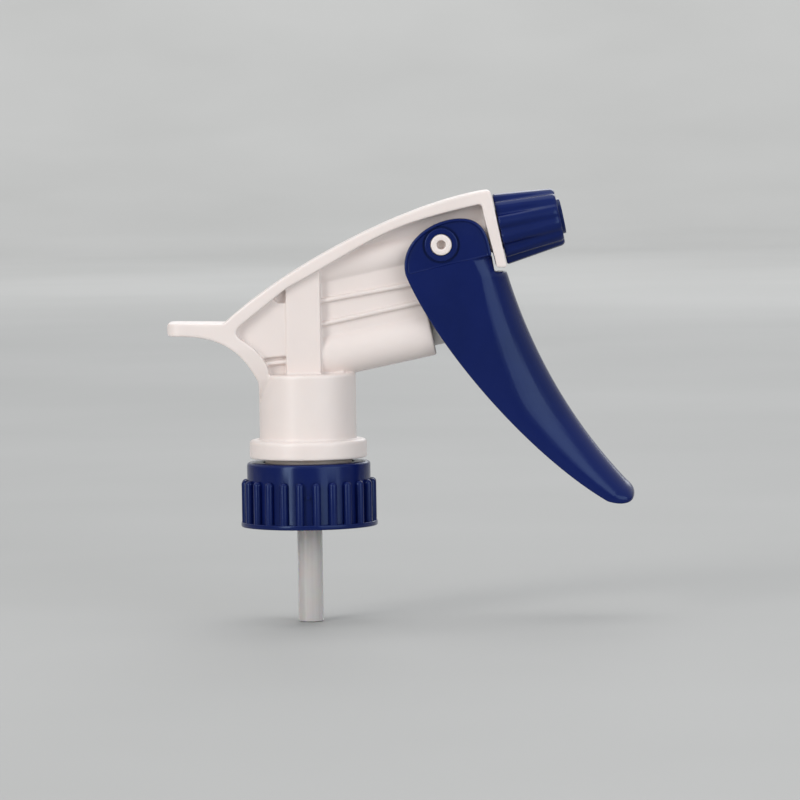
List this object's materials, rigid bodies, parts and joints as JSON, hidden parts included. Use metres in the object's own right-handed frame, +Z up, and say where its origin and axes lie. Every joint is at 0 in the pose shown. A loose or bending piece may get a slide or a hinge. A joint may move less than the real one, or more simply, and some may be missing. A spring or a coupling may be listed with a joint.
{
  "type": "trigger sprayer head",
  "caption": "Hand trigger sprayer head with arched white body, pump barrel, blue pull trigger, fluted turning nozzle, ribbed screw closure and dip tube.",
  "frame": {"origin": "on the closure's axis at the underside of its gasket, where the bottle's lip seals", "axes": "+X towards the nozzle, +Z up along the closure's axis away from the bottle, Y across the trigger's width"},
  "size_m": [0.1134, 0.0334, 0.1048],
  "materials": {
    "white_plastic": "moulded polypropylene, satin gloss, warm white",
    "piston_plastic": "moulded polyethylene, white",
    "natural_plastic": "natural polyethylene, slightly milky",
    "blue_trigger": "moulded polypropylene, navy blue, glossy",
    "blue_nozzle": "moulded polypropylene, navy blue, glossy",
    "blue_closure": "moulded polypropylene, navy blue, glossy",
    "tube_plastic": "translucent polyethylene tube",
    "seal_rubber": "nitrile rubber",
    "gasket_foam": "closed-cell polyethylene liner",
    "ball_steel": "polished stainless steel",
    "spring_steel": "drawn stainless spring wire"
  },
  "bodies": {
    "body": {"sprayer_body": "white_plastic", "neck_insert": "natural_plastic", "dip_tube": "tube_plastic", "closure_gasket": "gasket_foam", "inlet_ball_stop": "natural_plastic", "outlet_valve_seat": "natural_plastic", "spinner": "natural_plastic", "nozzle_seal": "seal_rubber", "return_spring": "spring_steel"},
    "trigger": {"trigger": "blue_trigger"},
    "piston": {"piston": "piston_plastic", "piston_cup_seal": "seal_rubber", "piston_wiper_seal": "seal_rubber"},
    "nozzle": {"nozzle": "blue_nozzle", "orifice_disc": "blue_nozzle"},
    "closure": {"closure_cap": "blue_closure"},
    "inlet_valve": {"inlet_ball": "ball_steel"},
    "outlet_valve": {"outlet_ball": "ball_steel"}
  },
  "joints": [
    {"name": "trigger_pull", "type": "hinge", "parent": "body", "child": "trigger", "pos_m": [0.03315, 0, 0.05576], "axis": [0, 1, 0], "range_deg": [0, 30], "stiffness_Nm_per_rad": 0.3, "springref_deg": -8.59},
    {"name": "piston_slide", "type": "slide", "parent": "body", "child": "piston", "axis": [-0.9799, 0, -0.1994], "range_m": [0, 0.011], "deforming": ["return_spring"]},
    {"name": "nozzle_turn", "type": "hinge", "parent": "body", "child": "nozzle", "pos_m": [0.0482, 0, 0.0592], "axis": [0.9799, 0, 0.1994], "range_deg": [0, 360]},
    {"name": "closure_turn", "type": "hinge", "parent": "body", "child": "closure", "pos_m": [0, 0, 0], "axis": [0, 0, 1], "continuous": true},
    {"name": "inlet_ball_lift", "type": "slide", "parent": "body", "child": "inlet_valve", "axis": [0, 0, 1], "range_m": [0, 0.0012]},
    {"name": "outlet_ball_lift", "type": "slide", "parent": "body", "child": "outlet_valve", "axis": [0, 0, 1], "range_m": [0, 0.0012]}
  ],
  "couplings": [
    {"joint": "piston_slide", "follows": "trigger_pull", "m_per_rad": 0.0209}
  ]
}
